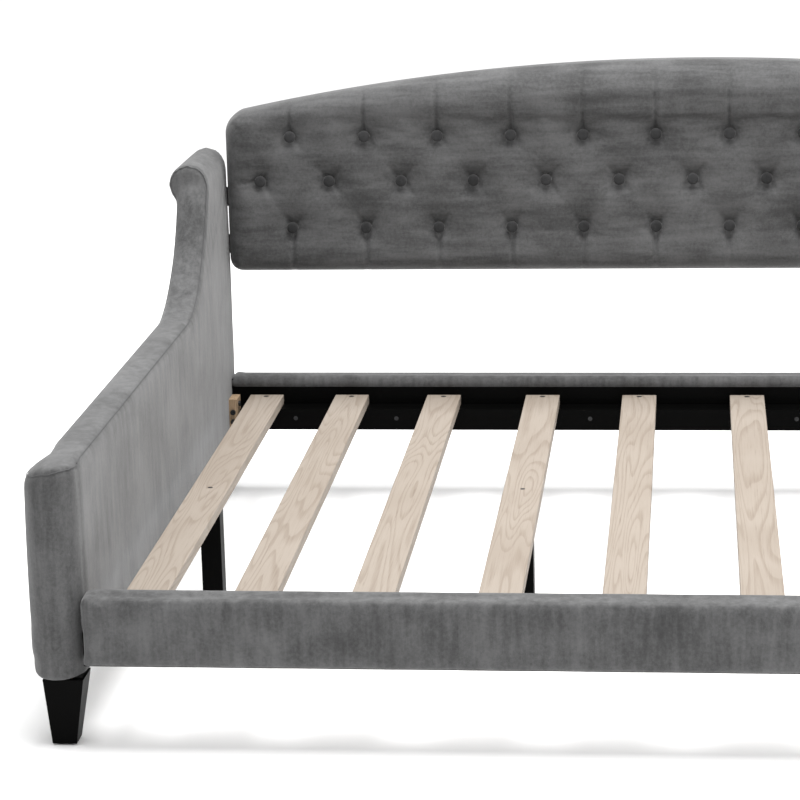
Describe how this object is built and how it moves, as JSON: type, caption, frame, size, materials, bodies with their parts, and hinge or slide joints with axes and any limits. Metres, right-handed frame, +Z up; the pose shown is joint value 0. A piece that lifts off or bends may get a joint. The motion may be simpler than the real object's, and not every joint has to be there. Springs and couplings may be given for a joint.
{
  "type": "daybed",
  "caption": "Upholstered daybed with scroll arms, an arched button-tufted back panel, padded rails, a slatted base and tapered legs.",
  "frame": {"origin": "on the floor, below the middle of the bounding box", "axes": "+X along the length towards the right arm as seen from the open front, +Y towards the back panel, +Z up"},
  "size_m": [2.104, 1.53, 0.8998],
  "materials": {
    "velvet": "brushed short-pile velvet, mid grey, over foam",
    "slat_wood": "bare pale maple, sanded",
    "black_wood": "black satin lacquer",
    "frame_timber": "bare sawn timber and plywood",
    "steel": "zinc plated",
    "bracket_steel": "black powder coat",
    "glide_plastic": "matt black",
    "dust_cloth": "thin black nonwoven",
    "twine": "waxed cord"
  },
  "bodies": {
    "root": {"back_padding": "velvet", "back_buttons": "velvet", "back_rear_cover": "velvet", "front_rail_cover": "velvet", "rear_rail_cover": "velvet", "left_arm_inner_cover": "velvet", "left_arm_outer_cover": "velvet", "left_arm_top_band": "velvet", "left_arm_nose": "velvet", "left_arm_scroll": "velvet", "right_arm_inner_cover": "velvet", "right_arm_outer_cover": "velvet", "right_arm_top_band": "velvet", "right_arm_nose": "velvet", "right_arm_scroll": "velvet", "slat_01": "slat_wood", "slat_02": "slat_wood", "slat_03": "slat_wood", "slat_04": "slat_wood", "slat_05": "slat_wood", "slat_06": "slat_wood", "slat_07": "slat_wood", "slat_08": "slat_wood", "slat_09": "slat_wood", "slat_10": "slat_wood", "front_left_leg": "black_wood", "front_right_leg": "black_wood", "rear_left_leg": "black_wood", "rear_right_leg": "black_wood", "support_leg_1": "black_wood", "support_leg_2": "black_wood", "support_leg_3": "black_wood", "support_leg_4": "black_wood", "front_rail_board": "black_wood", "rear_rail_board": "black_wood", "front_ledger": "black_wood", "rear_ledger": "black_wood", "corner_blocks": "frame_timber", "back_board": "frame_timber", "left_arm_core": "frame_timber", "left_arm_front_post": "frame_timber", "left_arm_rear_post": "frame_timber", "right_arm_core": "frame_timber", "right_arm_front_post": "frame_timber", "right_arm_rear_post": "frame_timber", "leg_hanger_bolts": "steel", "leg_threaded_inserts": "steel", "corner_block_arm_bolts": "steel", "corner_block_rail_bolts": "steel", "ledger_screws": "steel", "slat_screws": "steel", "support_leg_screws": "steel", "back_bracket_screws": "steel", "back_brackets": "bracket_steel", "leg_glides": "glide_plastic", "support_leg_glides": "glide_plastic", "left_arm_dust_cover": "dust_cloth", "right_arm_dust_cover": "dust_cloth", "back_tufting_twines": "twine"}
  },
  "joints": []
}
